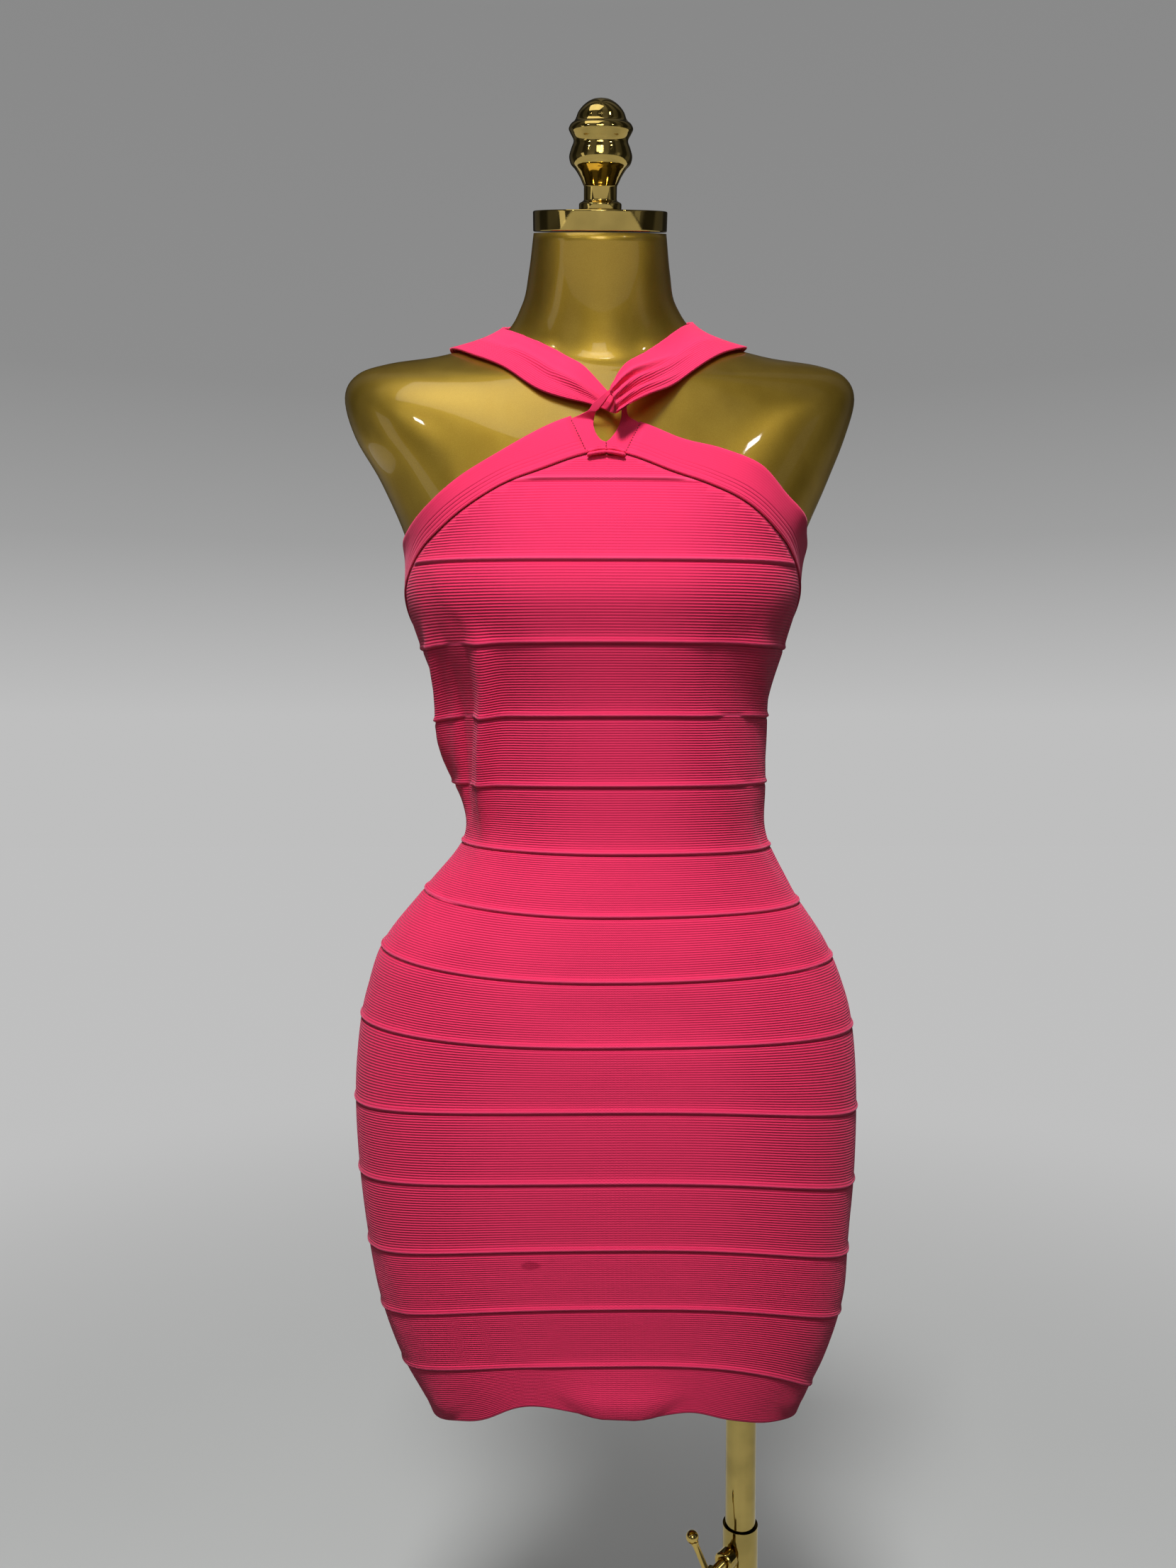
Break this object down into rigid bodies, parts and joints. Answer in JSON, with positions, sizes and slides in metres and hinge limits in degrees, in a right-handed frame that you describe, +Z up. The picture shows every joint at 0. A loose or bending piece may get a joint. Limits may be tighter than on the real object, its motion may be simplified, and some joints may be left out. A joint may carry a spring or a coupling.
{
  "type": "bodycon dress on a dress form",
  "caption": "Sleeveless halter bodycon mini dress in ribbed bandage knit, worn by a limbless gold dress form on a telescopic pole with a round base.",
  "frame": {"origin": "on the floor, at the centre of the round base, under the middle of the form", "axes": "+Z up along the pole and the standing form; -Y is the front of the dress; +X is the viewer's right, where the pole stands"},
  "size_m": [0.3922, 0.38, 1.5416],
  "materials": {
    "dress_knit": "ribbed bandage knit, hot pink, matt with a soft sheen",
    "form_gold": "satin gold paint under clear lacquer",
    "fittings_gold": "polished gold plating",
    "base_gold": "gold-plated steel plate"
  },
  "bodies": {
    "stand": {"base_plate": "base_gold", "base_flange": "base_gold", "lower_tube": "fittings_gold", "clamp_boss": "fittings_gold"},
    "clamp": {"clamp_screw": "fittings_gold", "clamp_bar": "fittings_gold"},
    "pole": {"upper_tube": "fittings_gold"},
    "form": {"form_torso": "form_gold", "pole_socket": "form_gold", "neck_cap": "fittings_gold", "finial": "fittings_gold", "front_panel": "dress_knit", "back_panel": "dress_knit", "neckline_band_left": "dress_knit", "neckline_band_right": "dress_knit", "back_band": "dress_knit", "keyhole_loop": "dress_knit", "keyhole_bar": "dress_knit", "halter_strap": "dress_knit"}
  },
  "joints": [
    {"name": "pole_slide", "type": "slide", "parent": "stand", "child": "pole", "axis": [0, 0, 1], "range_m": [-0.08, 0.2]},
    {"name": "form_swivel", "type": "hinge", "parent": "pole", "child": "form", "pos_m": [0.11, 0, 0.612], "axis": [0, 0, 1], "continuous": true},
    {"name": "clamp_turn", "type": "hinge", "parent": "stand", "child": "clamp", "pos_m": [0.11, 0, 0.447], "axis": [-0.6428, -0.766, 0], "range_deg": [0, 360]}
  ]
}
